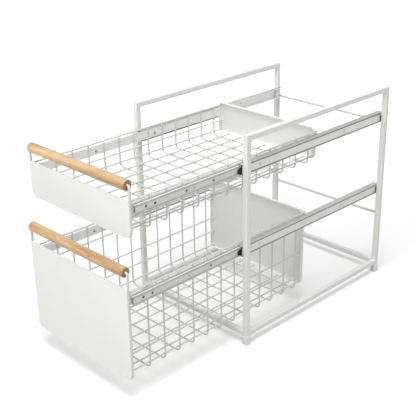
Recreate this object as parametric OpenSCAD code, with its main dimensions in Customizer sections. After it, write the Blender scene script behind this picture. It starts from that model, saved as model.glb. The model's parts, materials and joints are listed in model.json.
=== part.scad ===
// Two-tier pull-out drawer organizer: a welded square-tube frame with two
// wire basket drawers on ball-bearing slides. Front is -Y, right is +X, the floor is Z = 0.
// It is drawn as photographed, with both drawers pulled out.

/* [Frame] */
// Outside width across the posts
frame_w = 283; // [250:1:340]
// Outside depth across the posts, which is the length of the slides
frame_d = 400; // [340:1:460]
// Height from the floor to the top of the top rails
frame_h = 394; // [380:1:460]
// Side of the square tube
tube = 10; // [8:0.5:12]
// Wall of the square tube
tube_wall = 1.2; // [0.8:0.1:2]
// Radius on the long edges of the square tube
tube_r = 1.5; // [1.3:0.1:2]
// Height of the underside of the bottom rails above the floor
leg_h = 17; // [12:1:30]
// Diameter of the round rods across the back
rod_d = 5; // [3:0.5:7]
// Depth of the centre of the upper rod below the centre of the upper slides
upper_rod_down = 9.5; // [5:0.5:20]
// Depth of the centre of the lower rod below the centre of the lower slides
lower_rod_down = 54; // [30:1:80]
// Side of the square foot caps
foot_w = 11.6; // [11:0.2:16]
// Height of the plug of a foot cap inside its post
foot_plug_h = 12; // [6:1:20]
// Thickness of the sole of a foot cap
foot_sole = 3; // [2:0.5:5]
// Gap between the top of a foot cap and the bottom rails
sleeve_gap = 1; // [0.5:0.5:4]
// Clearance of a plug in its tube
plug_gap = 0.1; // [0.05:0.05:0.3]

/* [Drawers as photographed] */
// Length of the upper basket from the face of its front panel to the face of its rear panel
upper_basket_l = 446; // [434:1:447]
// Length of the lower basket from the face of its front panel to the face of its rear panel
lower_basket_l = 432; // [432:1:447]
// How far the front panel of a closed drawer stands in front of the frame
closed_out = 53; // [40:1:70]
// How far the upper drawer is pulled out
upper_out = 186; // [120:1:240]
// How far the lower drawer is pulled out
lower_out = 199; // [120:1:240]
// Depth of the centre of the upper slides below the top of the frame
upper_slide_down = 61.5; // [55:0.5:70]
// Depth of the centre of the lower slides below the top of the frame
lower_slide_down = 210.5; // [204:0.5:216]
// Depth of the upper basket from the centre of its slides to its lowest wires
upper_depth = 43.5; // [38:0.5:50]
// Depth of the lower basket from the centre of its slides to its lowest wires
lower_depth = 141; // [120:0.5:145]

/* [Front panels and handles] */
// Distance from the outside of a post to the edge of the front panels, seen from the front
panel_in = 14.5; // [11:0.5:20]
// Thickness of the front panels
panel_t = 1.2; // [0.8:0.1:2]
// Radius of the bottom corners of the front panels
panel_r = 14; // [8:1:20]
// Radius of the top corners of the front panels
panel_top_r = 8; // [5:1:12]
// Height of the top edge of the front panel above the centre of the slides
upper_panel_up = 18; // [14:0.5:24]
// Height of the top edge of the lower front panel above the centre of its slides
lower_panel_up = 25.6; // [20:0.5:30]
// How far a front panel reaches below the lowest wires of its basket
panel_drop = 2; // [0:0.5:5]
// Diameter of the wooden handles
handle_d = 17; // [14:0.5:22]
// Height of the upper handle above the centre of the upper slides
upper_handle_up = 41; // [36:0.5:50]
// Height of the lower handle above the centre of the lower slides
lower_handle_up = 52; // [46:0.5:60]
// Diameter of the wire hoop that carries a front panel and its handle
hoop_d = 4; // [3:0.5:5]
// Radius of the upper bends of the hoop, at the centre of the wire
hoop_r = 3.5; // [3:0.5:6]
// Clearance around the hoop in the bore of its handle
bore_gap = 0.15; // [0.1:0.05:0.5]
// Chamfer on the ends of the handles
handle_chamfer = 0.8; // [0.3:0.1:2]

/* [Basket wires] */
// Diameter of the bent cross wires and of the long wires
wire_d = 2.8; // [2:0.1:3]
// Diameter of the rim wires
rim_d = 3; // [2.5:0.1:4]
// Number of bent cross wires in a basket
cross_n = 12; // [8:1:14]
// Distance from the front panel to the first cross wire
cross_first = 47; // [35:1:60]
// Distance from the last cross wire to the face of the rear panel
cross_last = 22; // [16:1:40]
// Radius of the bends of the cross wires, at the centre of the wire
bend_r = 9; // [5:1:16]
// Height of the rim wires above the centre of the slides
rim_up = 14; // [13:0.5:20]
// Distance between the long wires of a floor
floor_pitch = 31.5; // [24:0.5:40]
// Number of long wires in a floor on each side of the middle one
floor_n = 3; // [1:1:3]
// Height of the long wires on the sides, up from the lowest wires, in the upper basket
upper_side_z = [9, 27]; // [5:0.5:120]
// Height of the long wires on the sides, up from the lowest wires, in the lower basket
lower_side_z = [9, 40, 70, 124]; // [5:0.5:130]
// Gap that is left where two round wires touch
touch = 0.02; // [0.01:0.01:0.05]

/* [Rear panels] */
// Thickness of the rear panels
back_t = 1.2; // [0.8:0.1:2]
// Depth of the flange round a rear panel, without its sheet
back_flange = 6; // [4:0.5:10]
// Radius of the bottom corners of the rear panels
back_r = 9; // [8:0.5:10]
// Radius of the top corners of the rear panels
back_top_r = 9; // [3:0.5:12]
// Height of the top edge of the upper rear panel above the centre of the slides
upper_back_up = 21.5; // [14:0.5:24]
// Height of the top edge of the lower rear panel above the centre of the slides
lower_back_up = 18; // [13:0.5:24]

/* [Slides] */
// Height of the cabinet rails
cab_h = 21; // [19:0.5:23]
// Depth of the cabinet rails, from their web to their mouth
cab_depth = 10; // [9.6:0.1:10.4]
// Radius of the corners of the cabinet rails along their web
cab_r = 2; // [1:0.1:2.2]
// Sheet thickness of both rails
rail_t = 1.2; // [1:0.05:1.4]
// Gap between the rear end of a cabinet rail and the rod behind it
cab_short = 0.5; // [0.3:0.1:5]
// Height of the drawer rails
inner_h = 14.4; // [14:0.1:14.6]
// Depth of the drawer rails, from the strip to the face of their web
inner_depth = 6.3; // [6:0.1:6.6]
// Radius of the corners of the drawer rails along their web
inner_r = 0.9; // [0.5:0.1:1]
// Diameter of the round tool that rolls a crease along both edges of a web
crease_d = 1.6; // [1.2:0.1:1.8]
// Distance from the middle of that tool to the face of the web
crease_out = 0.3; // [0.2:0.05:0.5]
// Distance from the edge of a web to its creases, beyond the radius of its corner
crease_in = 0.9; // [0.8:0.1:1.4]
// Sheet that is left round a ball race
race_wall = 0.8; // [0.6:0.1:0.9]
// Length of the drawer rails
inner_l = 420; // [380:1:426]
// Distance from the face of the front panel to the front end of the drawer rails
inner_first = 12; // [9:0.5:20]
// Diameter of the balls
ball_d = 3.4; // [3.2:0.05:3.5]
// Running clearance of a ball in its races and in its cage
ball_gap = 0.1; // [0.05:0.01:0.12]
// Number of balls in a row
ball_n = 6; // [4:1:6]
// Distance between the balls of a row
ball_pitch = 13; // [8:0.5:13]
// Thickness of the ball cages
cage_t = 0.8; // [0.6:0.1:1]
// Height of the strips that join the drawer rails to the baskets
strip_h = 16; // [15:0.5:18]
// Height of the middle of the strips above the centre of the slides
strip_up = 1; // [0:0.5:2]
// Thickness of the strips
strip_t = 1; // [0.8:0.1:1.6]
// Gap between a strip and the mouth of its cabinet rail
strip_gap = 0.4; // [0.3:0.1:1]
// Length of the rubber buffer at the back of a cabinet rail
buffer_l = 7; // [4:0.5:10]
// Distance from the buffer to the rear end of its cabinet rail
buffer_in = 8; // [4:0.5:12]
// Length of the guide block in the mouth of a cabinet rail
guide_l = 6; // [4:0.5:8]
// Gap between a guide block and the web of its drawer rail
guide_gap = 0.4; // [0.3:0.1:0.6]
// Distance from the mouth of a cabinet rail to its guide block
guide_in = 0.3; // [0:0.1:1]
// Diameter of the head of a rivet
rivet_head_d = 5; // [4.5:0.25:6]
// Distance from the centre of a post to its rivets, towards the middle of the frame
rivet_in = 1.5; // [0:0.25:2]
// Diameter of the shank of a rivet
rivet_d = 3; // [2.5:0.5:3.5]
// Thickness of the head of a rivet
rivet_head = 0.9; // [0.6:0.1:1.2]
// Diameter of the free holes in the rails
hole_d = 4.5; // [3:0.5:5]
// Places of the holes in a cabinet rail, back from its front end
cab_holes = [43, 274]; // [12:1:380]
// Places of the holes in the webs of the upper drawer rails, back from the front panel
upper_rail_holes = [33, 51, 116, 176]; // [20:1:400]
// Places of the holes in the webs of the lower drawer rails, back from the front panel
lower_rail_holes = [32, 51, 180]; // [20:1:400]
// Cross wires that have a rivet of a drawer rail half-way to the next one
rivet_after = [2, 6]; // [0:1:10]

/* [Hidden] */
$fn = 48;
eps = 0.01;
// How far a hoop's upright lies inside the edge of its front panel
hoop_in = 0.7;
// Straight wire between the end of a handle and the bend of its hoop
handle_end_gap = 0.3;
// How far the balls lie outwards of the middle of a drawer rail
race_out = 0.2;
// How far the buffers lie behind the mouth of a cabinet rail
buffer_deep = 1;
plug_r = 0.5;
tube_in_r = max(0.3, tube_r - tube_wall);

white = [0.93, 0.93, 0.9];
steel = [0.72, 0.72, 0.7];
dark_steel = [0.55, 0.55, 0.53];
beech = [0.84, 0.64, 0.42];
black = [0.1, 0.1, 0.1];

// Faces of the frame and of what hangs in it
front_y = -frame_d / 2;
post_x = frame_w / 2 - tube / 2;
post_y = frame_d / 2 - tube / 2;
post_in_x = frame_w / 2 - tube;
upper_slide_z = frame_h - upper_slide_down;
lower_slide_z = frame_h - lower_slide_down;
panel_w = frame_w - 2 * panel_in;
rivet_y = post_y - rivet_in;
mouth_x = post_in_x - cab_depth;
strip_x = mouth_x - strip_gap;
wire_x = strip_x - strip_t - touch - wire_d / 2;
rim_x = wire_x + wire_d / 2 + touch + rim_d / 2;
back_w = 2 * (rim_x - rim_d / 2 - touch);
rod_y = frame_d / 2 - rod_d / 2;
cab_l = frame_d - rod_d - cab_short;

// Fronts of the drawers as photographed
upper_y = front_y - closed_out - upper_out;
lower_y = front_y - closed_out - lower_out;
hoop_y = panel_t + touch + hoop_d / 2;
hoop_x = panel_w / 2 - hoop_in;
handle_l = 2 * (hoop_x - hoop_r - handle_end_gap);

// The races lie half-way between the flanges of the two rails
race_z = (inner_h / 2 + cab_h / 2 - rail_t) / 2;
race_x = strip_x + inner_depth / 2 + race_out;
race_r = ball_d / 2 + ball_gap;
web_x = strip_x + inner_depth;
cage_gap = 0.35;
cage_wall = 0.9;
cage_end = 3;
cage_l = ball_n * ball_pitch + 2 * cage_end;
cage_in_x = race_x - race_r - cage_wall;
cage_out_x = web_x + cage_gap + cage_t;
cage_z = cab_h / 2 - rail_t - cage_gap;
cage_low_z = inner_h / 2 + cage_gap;

// The whole part is centred on the floor under its box
low_y = lower_y + hoop_y - handle_d / 2;
high_y = frame_d / 2 + (foot_w - tube) / 2;
shift_y = -(low_y + high_y) / 2;

// Whole-part placing
module place() {
  translate([0, shift_y, 0]) children();
}

// Copies of a right-hand piece on one side: side is 1 on the right and -1 on the left
module on_side(side) {
  if (side > 0) children();
  else mirror([1, 0, 0]) children();
}

// Square with round corners, made of true arcs
module round_square(w, h, r) {
  union() {
    square([w - 2 * r, h], center = true);
    square([w, h - 2 * r], center = true);
    for (sx = [-1, 1], sy = [-1, 1])
      translate([sx * (w / 2 - r), sy * (h / 2 - r)]) circle(r);
  }
}

// Square tube along Z
module tube_z(length) {
  inner = tube - 2 * tube_wall;
  linear_extrude(length) difference() {
    round_square(tube, tube, tube_r);
    round_square(inner, inner, tube_in_r);
  }
}

// Square tube along Y from y0 to y1
module tube_y(y0, y1) {
  translate([0, y0, 0]) rotate([-90, 0, 0]) tube_z(y1 - y0);
}

// Square tube along X between x0 and x1
module tube_x(x0, x1) {
  translate([x0, 0, 0]) rotate([0, 90, 0]) tube_z(x1 - x0);
}

// Space above the 45 degree mitre at the upper corner of a side frame: end is -1 at the front
module above_mitre(end) {
  s = frame_d;
  translate([-tube, 0, 0])
    rotate([90, 0, 90])
    linear_extrude(2 * tube)
    polygon([
      [end * frame_d / 2 + end * s, frame_h + s],
      [end * frame_d / 2 - end * 2 * s, frame_h - 2 * s],
      [end * frame_d / 2 - end * 2 * s, frame_h + s]
    ]);
}

// Post with its upper end cut at 45 degrees and a hole for each rivet in its inner wall
module post(side, end) {
  on_side(side) translate([post_x, 0, 0])
    difference() {
      translate([0, end * post_y, foot_sole]) tube_z(frame_h - foot_sole);
      above_mitre(end);
      for (z = [upper_slide_z, lower_slide_z])
        translate([-tube / 2 - 1, end * rivet_y, z]) rotate([0, 90, 0]) cylinder(d = rivet_d, h = tube_wall + 2);
    }
}

// Top rail with both ends cut at 45 degrees
module top_rail(side) {
  translate([side * post_x, 0, 0])
    intersection() {
      translate([0, 0, frame_h - tube / 2]) tube_y(-frame_d / 2, frame_d / 2);
      above_mitre(-1);
      above_mitre(1);
    }
}

// Bottom rail between two posts
module bottom_rail(side) {
  translate([side * post_x, 0, leg_h + tube / 2]) tube_y(-frame_d / 2 + tube, frame_d / 2 - tube);
}

// Bottom crossbar between two posts
module crossbar(end) {
  translate([0, end * post_y, leg_h + tube / 2]) tube_x(-post_in_x, post_in_x);
}

// Round rod between the rear posts, flush with their back faces
module rear_rod(z) {
  translate([0, rod_y, z]) rotate([0, 90, 0]) cylinder(d = rod_d, h = 2 * post_in_x, center = true);
}

// Foot cap: a sleeve round the end of the post, a plug in its bore and a sole
module foot_cap() {
  bore = tube + 2 * plug_gap;
  plug = tube - 2 * tube_wall - 2 * plug_gap;
  cap_r = tube_r + (foot_w - tube) / 2;
  union() {
    linear_extrude(foot_sole) round_square(foot_w, foot_w, cap_r);
    linear_extrude(leg_h - sleeve_gap) difference() {
      round_square(foot_w, foot_w, cap_r);
      round_square(bore, bore, tube_r);
    }
    linear_extrude(foot_sole + foot_plug_h) round_square(plug, plug, plug_r);
  }
}

// Outline of a rolled channel, open at X = 0, w deep and 2 * h high, with round corners along its web
module channel(w, h, r) {
  union() {
    translate([0, -h]) square([w - r, 2 * h]);
    translate([0, -h + r]) square([w, 2 * (h - r)]);
    for (s = [-1, 1]) translate([w - r, s * (h - r)]) circle(r);
  }
}

// Creases rolled into the face of a web, near both of its edges
module creases(x, h, r) {
  for (s = [-1, 1]) translate([x + crease_out, s * (h - r - crease_in)]) circle(d = crease_d);
}

// Outline of a cabinet rail seen from the front, open towards -X, with its races
module cabinet_profile() {
  h = cab_h / 2;
  difference() {
    union() {
      translate([mouth_x, 0]) channel(cab_depth, h, cab_r);
      for (s = [-1, 1]) translate([race_x, s * race_z]) circle(race_r + race_wall);
    }
    translate([mouth_x - 1, -h + rail_t]) square([cab_depth + 1 - rail_t, cab_h - 2 * rail_t]);
    for (s = [-1, 1]) translate([race_x, s * race_z]) circle(race_r);
    creases(post_in_x, h, cab_r);
  }
}

// Cabinet rail from the front face of the frame to near its back
module cabinet_rail(side, z) {
  on_side(side) translate([0, 0, z])
    difference() {
      translate([0, front_y, 0]) rotate([90, 0, 0]) mirror([0, 0, 1]) linear_extrude(cab_l) cabinet_profile();
      for (y = cab_holes)
        translate([post_in_x - rail_t / 2, front_y + y, 0]) rotate([0, 90, 0])
          cylinder(d = hole_d, h = 2 * rail_t, center = true);
      for (e = [-1, 1])
        translate([post_in_x - rail_t - eps, e * rivet_y, 0]) rotate([0, 90, 0]) {
          cylinder(d = rivet_d, h = 2 * rail_t + 1);
          cylinder(d = rivet_head_d, h = rivet_head + eps);
        }
    }
}

// Outline of a drawer rail seen from the front, open towards its strip, with its races
module drawer_profile() {
  h = inner_h / 2;
  difference() {
    translate([strip_x, 0]) channel(inner_depth, h, inner_r);
    difference() {
      translate([strip_x - 1, -h + rail_t]) square([inner_depth + 1 - rail_t, inner_h - 2 * rail_t]);
      for (s = [-1, 1]) translate([race_x, s * race_z]) circle(race_r + race_wall);
    }
    for (s = [-1, 1]) translate([race_x, s * race_z]) circle(race_r);
    creases(web_x, h, inner_r);
  }
}

// Places of the rivets of a basket, back from the face of its front panel
function rivet_places(length) = [for (i = rivet_after) cross_first + (i + 0.5) * cross_pitch(length)];

// Drawer rail
module drawer_rail(side, y, z, length, holes) {
  on_side(side) translate([0, y, z])
    difference() {
      translate([0, inner_first, 0]) rotate([90, 0, 0]) mirror([0, 0, 1]) linear_extrude(inner_l) drawer_profile();
      for (p = holes)
        translate([web_x - rail_t - 1, p, 0]) rotate([0, 90, 0]) cylinder(d = hole_d, h = rail_t + 2);
      for (p = rivet_places(length))
        translate([web_x - rail_t - 1, p, 0]) rotate([0, 90, 0]) cylinder(d = rivet_d, h = rail_t + 2);
    }
}

// Rivets that hold the cabinet rails to the posts
module cabinet_rivet(side, end, z) {
  on_side(side) translate([post_in_x - rail_t, end * rivet_y, z]) rotate([0, 90, 0]) {
    cylinder(d = rivet_head_d, h = rivet_head);
    cylinder(d = rivet_d, h = rail_t + tube_wall + 1);
  }
}

// Rubber buffer that stops a drawer rail at the back of its cabinet rail
module buffer(side, z) {
  y = front_y + cab_l - buffer_in - buffer_l;
  on_side(side) translate([mouth_x + buffer_deep, y, z - cage_z])
    cube([cab_depth - rail_t - buffer_deep, buffer_l, 2 * cage_z]);
}

// Guide block on the web of a cabinet rail, in its mouth and over the head of the rivet there
module guide_block(side, z) {
  x = web_x + guide_gap;
  half_h = inner_h / 2 + guide_gap;
  on_side(side) difference() {
    translate([x, front_y + guide_in, z - half_h]) cube([post_in_x - rail_t - x, guide_l, 2 * half_h]);
    translate([post_in_x - rail_t, -rivet_y, z]) rotate([0, -90, 0])
      cylinder(d = rivet_head_d + guide_gap, h = rivet_head + plug_gap);
  }
}

// Strip that joins a drawer rail to the wires of its basket, with a hole in its round rear end
module strip(side, y, z, basket_l) {
  first = panel_t + touch;
  length = basket_l - first;
  on_side(side) translate([strip_x - strip_t, y + first, z])
    difference() {
      translate([0, 0, strip_up]) rotate([90, 0, 90]) linear_extrude(strip_t) union() {
        translate([0, -strip_h / 2]) square([length - strip_h / 2, strip_h]);
        translate([length - strip_h / 2, 0]) circle(strip_h / 2);
      }
      for (p = rivet_places(basket_l))
        translate([-eps, p - first, 0]) rotate([0, 90, 0]) cylinder(d = rivet_d, h = 2 * strip_t);
      translate([-eps, length - strip_h / 2, strip_up]) rotate([0, 90, 0]) cylinder(d = hole_d, h = 2 * strip_t);
    }
}

// Rivets with their heads on the strips, through to the webs of the drawer rails
module strip_rivet(side, y, z, length) {
  x = strip_x - strip_t;
  for (p = rivet_places(length))
    on_side(side) translate([x - rivet_head, y + p, z]) rotate([0, 90, 0]) {
      cylinder(d = rivet_head_d, h = rivet_head);
      cylinder(d = rivet_d, h = web_x - x + rivet_head);
    }
}

// Sheet panel in the XZ plane with a bottom and a top corner radius
module panel_sheet(w, z0, z1, r_low, r_top, t) {
  rotate([90, 0, 0]) mirror([0, 0, 1]) linear_extrude(t) union() {
    translate([-w / 2 + r_low, z0]) square([w - 2 * r_low, r_low]);
    translate([-w / 2, z0 + r_low]) square([w, z1 - z0 - r_low - r_top]);
    translate([-w / 2 + r_top, z1 - r_top]) square([w - 2 * r_top, r_top]);
    for (s = [-1, 1]) {
      translate([s * (w / 2 - r_low), z0 + r_low]) circle(r_low);
      translate([s * (w / 2 - r_top), z1 - r_top]) circle(r_top);
    }
  }
}

// Front panel
module front_panel(y, z0, z1) {
  translate([0, y, 0]) panel_sheet(panel_w, z0, z1, panel_r, panel_top_r, panel_t);
}

// Quarter bend of a wire in the XZ plane, centred on the origin, from angle a to a + 90
module bend(r, d, a) {
  rotate([90, 0, 0]) rotate([0, 0, a]) rotate_extrude(angle = 90) translate([r, 0]) circle(d = d);
}

// Straight wire along Z
module wire_z(x, z0, z1, d) {
  translate([x, 0, z0]) cylinder(d = d, h = z1 - z0);
}

// Straight wire along X
module wire_x_run(x0, x1, z, d) {
  translate([x0, 0, z]) rotate([0, 90, 0]) cylinder(d = d, h = x1 - x0);
}

// Straight wire along Y
module wire_y(x, y0, y1, z, d) {
  translate([x, y0, z]) rotate([-90, 0, 0]) cylinder(d = d, h = y1 - y0);
}

// Closed wire hoop behind a front panel, through the bore of its handle and under the floor wires
module hoop(y, low_wire_z, z1) {
  low_r = panel_r - hoop_d / 2;
  low_z = low_wire_z + wire_d - hoop_d / 2;
  translate([0, y + hoop_y, 0]) union() {
    wire_x_run(-hoop_x + hoop_r, hoop_x - hoop_r, z1, hoop_d);
    wire_x_run(-hoop_x + low_r, hoop_x - low_r, low_z, hoop_d);
    for (s = [-1, 1]) wire_z(s * hoop_x, low_z + low_r, z1 - hoop_r, hoop_d);
    translate([hoop_x - hoop_r, 0, z1 - hoop_r]) bend(hoop_r, hoop_d, 0);
    translate([-hoop_x + hoop_r, 0, z1 - hoop_r]) bend(hoop_r, hoop_d, 90);
    translate([-hoop_x + low_r, 0, low_z + low_r]) bend(low_r, hoop_d, 180);
    translate([hoop_x - low_r, 0, low_z + low_r]) bend(low_r, hoop_d, 270);
  }
}

// Wooden handle, turned with chamfered ends and bored for the hoop
module handle(y, z) {
  r = handle_d / 2;
  bore_r = hoop_d / 2 + bore_gap;
  end = handle_l / 2;
  low = end - handle_chamfer;
  translate([0, y + hoop_y, z]) rotate([0, 90, 0]) rotate_extrude()
    polygon([
      [bore_r, -end], [r - handle_chamfer, -end], [r, -low],
      [r, low], [r - handle_chamfer, end], [bore_r, end]
    ]);
}

// One cross wire, bent to a U
module cross_wire(z0, z1) {
  union() {
    wire_x_run(-wire_x + bend_r, wire_x - bend_r, z0, wire_d);
    for (s = [-1, 1]) wire_z(s * wire_x, z0 + bend_r, z1, wire_d);
    translate([-wire_x + bend_r, 0, z0 + bend_r]) bend(bend_r, wire_d, 180);
    translate([wire_x - bend_r, 0, z0 + bend_r]) bend(bend_r, wire_d, 270);
  }
}

// Distance between the cross wires of a basket
function cross_pitch(basket_l) = (basket_l - cross_first - cross_last) / (cross_n - 1);

// All cross wires of a basket, from its lowest wires up to the tops of its rim wires
module cross_wires(y, z, depth, basket_l) {
  for (i = [0 : cross_n - 1])
    translate([0, y + cross_first + i * cross_pitch(basket_l), 0])
      cross_wire(z - depth + wire_d / 2, z + rim_up + rim_d / 2);
}

// Rim wires outside the upper ends of the cross wires
module rim_wires(y, z, basket_l) {
  for (s = [-1, 1]) wire_y(s * rim_x, y + panel_t + touch, y + basket_l, z + rim_up, rim_d);
}

// Long wires inside the uprights of the cross wires
module side_wires(y, z, depth, heights, basket_l) {
  x = wire_x - wire_d - touch;
  for (s = [-1, 1], h = heights)
    wire_y(s * x, y + panel_t + touch, y + basket_l - back_t - touch, z - depth + wire_d / 2 + h, wire_d);
}

// Long wires on the floor runs of the cross wires
module floor_wires(y, z, depth, basket_l) {
  for (i = [-floor_n : floor_n])
    wire_y(i * floor_pitch, y + panel_t + touch, y + basket_l - back_t - touch,
           z - depth + wire_d * 1.5 + touch, wire_d);
}

// Rear panel on the floor wires: a pressed sheet with a flange turned forward all round it
module rear_panel(y, low_wire_z, z1, basket_l) {
  z0 = low_wire_z + 2 * (wire_d + touch);
  translate([0, y + basket_l, 0]) mirror([0, 1, 0]) difference() {
    panel_sheet(back_w, z0, z1, back_r, back_top_r, back_flange + back_t);
    translate([0, back_t, 0])
      panel_sheet(back_w - 2 * back_t, z0 + back_t, z1 - back_t, back_r - back_t, back_top_r - back_t,
                  back_flange + 1);
  }
}

// Ball cage: a channel with a hole for each ball in its flanges
module ball_cage(side, y, z) {
  on_side(side) translate([0, y, z]) difference() {
    rotate([90, 0, 0]) mirror([0, 0, 1]) linear_extrude(cage_l) difference() {
      translate([cage_in_x, -cage_z]) square([cage_out_x - cage_in_x, 2 * cage_z]);
      translate([cage_in_x - 1, -cage_low_z]) square([cage_out_x - cage_t - cage_in_x + 1, 2 * cage_low_z]);
    }
    for (i = [0 : ball_n - 1])
      translate([race_x, ball_y(i), 0]) cylinder(r = race_r, h = 3 * cage_z, center = true);
  }
}

// Place of a ball along its cage
function ball_y(i) = cage_l / 2 + (i - (ball_n - 1) / 2) * ball_pitch;

// Balls of one cage
module balls(side, y, z) {
  on_side(side) for (i = [0 : ball_n - 1], s = [-1, 1])
    translate([race_x, y + ball_y(i), z + s * race_z]) sphere(d = ball_d);
}

// A ball cage lies half-way between its guide block and the rear end of its drawer rail
function cage_y(y) = (front_y + 2 * guide_in + guide_l + y + inner_first + inner_l - cage_l) / 2;

// Frame
module left_front_post() { color(white) place() post(-1, -1); }
module right_front_post() { color(white) place() post(1, -1); }
module left_rear_post() { color(white) place() post(-1, 1); }
module right_rear_post() { color(white) place() post(1, 1); }
module left_top_rail() { color(white) place() top_rail(-1); }
module right_top_rail() { color(white) place() top_rail(1); }
module left_bottom_rail() { color(white) place() bottom_rail(-1); }
module right_bottom_rail() { color(white) place() bottom_rail(1); }
module front_crossbar() { color(white) place() crossbar(-1); }
module rear_crossbar() { color(white) place() crossbar(1); }
module upper_rear_rod() { color(white) place() rear_rod(upper_slide_z - upper_rod_down); }
module lower_rear_rod() { color(white) place() rear_rod(lower_slide_z - lower_rod_down); }

module foot_caps() {
  color([0.85, 0.85, 0.84]) place()
    for (sx = [-1, 1], sy = [-1, 1]) translate([sx * post_x, sy * post_y, 0]) foot_cap();
}

// Fixed halves of the slides
module upper_left_cabinet_rail() { color(steel) place() cabinet_rail(-1, upper_slide_z); }
module upper_right_cabinet_rail() { color(steel) place() cabinet_rail(1, upper_slide_z); }
module lower_left_cabinet_rail() { color(steel) place() cabinet_rail(-1, lower_slide_z); }
module lower_right_cabinet_rail() { color(steel) place() cabinet_rail(1, lower_slide_z); }

module rail_buffers() {
  color(black) place() for (s = [-1, 1], z = [upper_slide_z, lower_slide_z]) {
    buffer(s, z);
    guide_block(s, z);
  }
}

module cabinet_rivets() {
  color(dark_steel) place()
    for (s = [-1, 1], e = [-1, 1], z = [upper_slide_z, lower_slide_z]) cabinet_rivet(s, e, z);
}

// Upper drawer
module upper_front_panel() {
  color(white) place() front_panel(upper_y, upper_slide_z - upper_depth - panel_drop, upper_slide_z + upper_panel_up);
}
module upper_hoop() {
  color(white) place() hoop(upper_y, upper_slide_z - upper_depth, upper_slide_z + upper_handle_up);
}
module upper_handle() { color(beech) place() handle(upper_y, upper_slide_z + upper_handle_up); }
module upper_cross_wires() {
  color(white) place() cross_wires(upper_y, upper_slide_z, upper_depth, upper_basket_l);
}
module upper_rim_wires() { color(white) place() rim_wires(upper_y, upper_slide_z, upper_basket_l); }
module upper_side_wires() {
  color(white) place() side_wires(upper_y, upper_slide_z, upper_depth, upper_side_z, upper_basket_l);
}
module upper_floor_wires() {
  color(white) place() floor_wires(upper_y, upper_slide_z, upper_depth, upper_basket_l);
}
module upper_rear_panel() {
  color(white) place()
    rear_panel(upper_y, upper_slide_z - upper_depth, upper_slide_z + upper_back_up, upper_basket_l);
}
module upper_left_strip() { color(white) place() strip(-1, upper_y, upper_slide_z, upper_basket_l); }
module upper_right_strip() { color(white) place() strip(1, upper_y, upper_slide_z, upper_basket_l); }
module upper_left_drawer_rail() {
  color(steel) place() drawer_rail(-1, upper_y, upper_slide_z, upper_basket_l, upper_rail_holes);
}
module upper_right_drawer_rail() {
  color(steel) place() drawer_rail(1, upper_y, upper_slide_z, upper_basket_l, upper_rail_holes);
}
module upper_strip_rivets() {
  color(dark_steel) place() for (s = [-1, 1]) strip_rivet(s, upper_y, upper_slide_z, upper_basket_l);
}

// Lower drawer
module lower_front_panel() {
  color(white) place() front_panel(lower_y, lower_slide_z - lower_depth - panel_drop, lower_slide_z + lower_panel_up);
}
module lower_hoop() {
  color(white) place() hoop(lower_y, lower_slide_z - lower_depth, lower_slide_z + lower_handle_up);
}
module lower_handle() { color(beech) place() handle(lower_y, lower_slide_z + lower_handle_up); }
module lower_cross_wires() {
  color(white) place() cross_wires(lower_y, lower_slide_z, lower_depth, lower_basket_l);
}
module lower_rim_wires() { color(white) place() rim_wires(lower_y, lower_slide_z, lower_basket_l); }
module lower_side_wires() {
  color(white) place() side_wires(lower_y, lower_slide_z, lower_depth, lower_side_z, lower_basket_l);
}
module lower_floor_wires() {
  color(white) place() floor_wires(lower_y, lower_slide_z, lower_depth, lower_basket_l);
}
module lower_rear_panel() {
  color(white) place()
    rear_panel(lower_y, lower_slide_z - lower_depth, lower_slide_z + lower_back_up, lower_basket_l);
}
module lower_left_strip() { color(white) place() strip(-1, lower_y, lower_slide_z, lower_basket_l); }
module lower_right_strip() { color(white) place() strip(1, lower_y, lower_slide_z, lower_basket_l); }
module lower_left_drawer_rail() {
  color(steel) place() drawer_rail(-1, lower_y, lower_slide_z, lower_basket_l, lower_rail_holes);
}
module lower_right_drawer_rail() {
  color(steel) place() drawer_rail(1, lower_y, lower_slide_z, lower_basket_l, lower_rail_holes);
}
module lower_strip_rivets() {
  color(dark_steel) place() for (s = [-1, 1]) strip_rivet(s, lower_y, lower_slide_z, lower_basket_l);
}

// Ball cages and balls
module upper_ball_cages() { color(black) place() for (s = [-1, 1]) ball_cage(s, cage_y(upper_y), upper_slide_z); }
module upper_balls() { color(steel) place() for (s = [-1, 1]) balls(s, cage_y(upper_y), upper_slide_z); }
module lower_ball_cages() { color(black) place() for (s = [-1, 1]) ball_cage(s, cage_y(lower_y), lower_slide_z); }
module lower_balls() { color(steel) place() for (s = [-1, 1]) balls(s, cage_y(lower_y), lower_slide_z); }

left_front_post();
right_front_post();
left_rear_post();
right_rear_post();
left_top_rail();
right_top_rail();
left_bottom_rail();
right_bottom_rail();
front_crossbar();
rear_crossbar();
upper_rear_rod();
lower_rear_rod();
foot_caps();
upper_left_cabinet_rail();
upper_right_cabinet_rail();
lower_left_cabinet_rail();
lower_right_cabinet_rail();
rail_buffers();
cabinet_rivets();
upper_front_panel();
upper_hoop();
upper_handle();
upper_cross_wires();
upper_rim_wires();
upper_side_wires();
upper_floor_wires();
upper_rear_panel();
upper_left_strip();
upper_right_strip();
upper_left_drawer_rail();
upper_right_drawer_rail();
upper_strip_rivets();
lower_front_panel();
lower_hoop();
lower_handle();
lower_cross_wires();
lower_rim_wires();
lower_side_wires();
lower_floor_wires();
lower_rear_panel();
lower_left_strip();
lower_right_strip();
lower_left_drawer_rail();
lower_right_drawer_rail();
lower_strip_rivets();
upper_ball_cages();
upper_balls();
lower_ball_cages();
lower_balls();
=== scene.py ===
# Two-tier drawer organizer: powder-coated tube rack, wire baskets, beech handles.
import json
import math

import bpy
from mathutils import Matrix, Vector


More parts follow.
